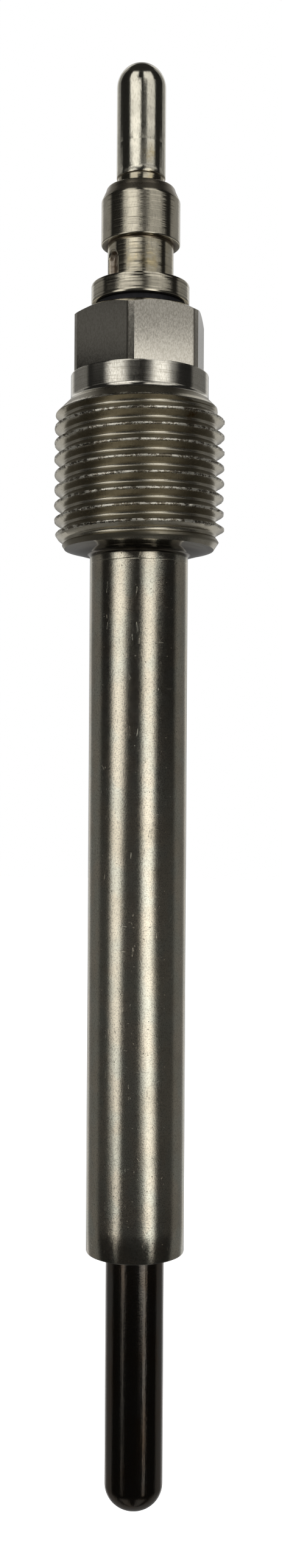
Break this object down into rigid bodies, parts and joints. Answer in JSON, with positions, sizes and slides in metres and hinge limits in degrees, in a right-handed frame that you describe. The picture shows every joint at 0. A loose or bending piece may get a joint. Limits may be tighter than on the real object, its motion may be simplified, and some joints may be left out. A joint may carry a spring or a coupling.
{
  "type": "diesel glow plug",
  "caption": "Glow plug with a long plain shank, a right-hand screw thread, a hexagon, a dark glow tube and a crimped push-on terminal.",
  "frame": {"origin": "on the plug's axis at the middle of the lowest full thread crest", "axes": "+Z along the axis towards the terminal, -Z towards the glow tube's tip, -Y through a corner of the hexagon"},
  "size_m": [0.0138, 0.0138, 0.1181],
  "materials": {
    "plated_steel": "worn satin nickel plating with scratches and pits",
    "scaled_alloy": "dark brown oxide from the heat, half gloss",
    "heater_wire": "drawn resistance wire",
    "control_wire": "drawn nickel wire",
    "magnesia": "packed white powder",
    "rod_steel": "drawn bar",
    "brown_rubber": "moulded heat-resistant rubber",
    "black_rubber": "moulded rubber",
    "black_plastic": "half-gloss moulded plastic",
    "terminal_nickel": "bright turned nickel plating with yellowish stains"
  },
  "bodies": {
    "root": {"body_shell": "plated_steel", "glow_tube": "scaled_alloy", "heating_coil": "heater_wire", "control_coil": "control_wire", "magnesia_filling": "magnesia", "centre_rod": "rod_steel", "tube_seal": "brown_rubber", "seal_ring": "black_rubber", "insulating_washer": "black_plastic", "terminal": "terminal_nickel"}
  },
  "joints": []
}
